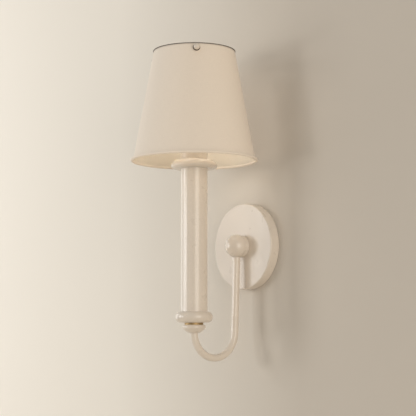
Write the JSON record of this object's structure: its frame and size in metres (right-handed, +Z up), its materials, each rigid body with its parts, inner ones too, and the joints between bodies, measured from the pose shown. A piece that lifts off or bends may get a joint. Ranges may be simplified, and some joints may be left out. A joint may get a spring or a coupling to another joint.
{
  "type": "wall light",
  "caption": "Wall light: round backplate and ball hub, a J-shaped arm, a turned column between two beads, a candle bulb and a conical fabric shade with a rolled rim.",
  "frame": {"origin": "centre of the backplate on the wall plane", "axes": "+Z up, +Y into the wall, the light stands out along -Y, +X to the right seen from the room"},
  "size_m": [0.1736, 0.1873, 0.4234],
  "materials": {
    "cream_paint": "satin enamel",
    "shade_cloth": "fine plain weave",
    "shade_lining": "matte",
    "zinc_steel": "plated",
    "white_wire": "satin enamel",
    "dark_bronze": "satin patina",
    "aged_brass": "aged",
    "holder_plastic": "satin",
    "white_plastic": "satin",
    "lead_sleeve": "matte",
    "bulb_glass": "frosted",
    "bulb_cap": "satin",
    "filament": "phosphor"
  },
  "bodies": {
    "wall_mount": {"wall_bracket": "zinc_steel", "backplate": "cream_paint", "hub_collar": "cream_paint", "hub_ball": "cream_paint", "threaded_nipple": "zinc_steel", "nipple_nut": "zinc_steel", "earth_screw": "zinc_steel", "earth_washer": "zinc_steel", "earth_terminal": "aged_brass", "terminal_block": "white_plastic", "terminal_screws": "zinc_steel", "wall_leads": "lead_sleeve", "earth_lead": "lead_sleeve", "swivel_stop_pin": "zinc_steel"},
    "arm": {"swivel_stem": "zinc_steel", "swivel_washer": "zinc_steel", "swivel_nut": "zinc_steel", "leg_ferrule": "cream_paint", "arm_tube": "cream_paint", "arm_leads": "lead_sleeve", "arm_cup": "cream_paint", "gap_ring": "aged_brass", "foot_bead": "cream_paint", "column_tube": "cream_paint", "lower_column_plug": "white_plastic", "upper_column_plug": "white_plastic", "lower_rod_nut": "zinc_steel", "upper_rod_nut": "zinc_steel", "tie_rod": "zinc_steel", "top_bead": "cream_paint", "neck_tube": "cream_paint", "neck_cap": "cream_paint", "lampholder_base": "holder_plastic", "lampholder_body": "holder_plastic", "lampholder_contacts": "aged_brass"},
    "shade": {"carrier_plate": "white_wire", "carrier_arms": "white_wire", "top_band": "white_wire", "knob_studs": "zinc_steel", "knob_washers": "dark_bronze", "shade_backing": "shade_lining", "shade_fabric": "shade_cloth", "top_ring": "dark_bronze", "bottom_wire": "zinc_steel", "rolled_rim": "shade_cloth"},
    "bulb": {"bulb_cap": "bulb_cap", "bulb_contact": "bulb_cap", "bulb_glass": "bulb_glass", "bulb_filaments": "filament"},
    "ring_nut": {"shade_ring_nut": "holder_plastic"},
    "knob_1": {"thumb_knob_1": "cream_paint"},
    "knob_2": {"thumb_knob_2": "cream_paint"},
    "knob_3": {"thumb_knob_3": "cream_paint"}
  },
  "joints": [
    {"name": "arm_swivel", "type": "hinge", "parent": "wall_mount", "child": "arm", "pos_m": [0, -0.0254, 0], "axis": [0, 0, 1], "range_deg": [-30, 30]},
    {"name": "shade_turn", "type": "hinge", "parent": "arm", "child": "shade", "pos_m": [0, -0.1005, 0.158], "axis": [0, 0, 1], "continuous": true},
    {"name": "bulb_screw", "type": "hinge", "parent": "arm", "child": "bulb", "pos_m": [0, -0.1005, 0.17], "axis": [0, 0, 1], "continuous": true},
    {"name": "ring_nut_turn", "type": "hinge", "parent": "arm", "child": "ring_nut", "pos_m": [0, -0.1005, 0.162], "axis": [0, 0, 1], "continuous": true},
    {"name": "knob_1_turn", "type": "hinge", "parent": "shade", "child": "knob_1", "pos_m": [0.04885, -0.13534, 0.2576], "axis": [0.8141, -0.5807, 0], "continuous": true},
    {"name": "knob_2_turn", "type": "hinge", "parent": "shade", "child": "knob_2", "pos_m": [0.00575, -0.04078, 0.2576], "axis": [0.0958, 0.9954, 0], "continuous": true},
    {"name": "knob_3_turn", "type": "hinge", "parent": "shade", "child": "knob_3", "pos_m": [-0.0546, -0.12538, 0.2576], "axis": [-0.91, -0.4147, 0], "continuous": true}
  ]
}
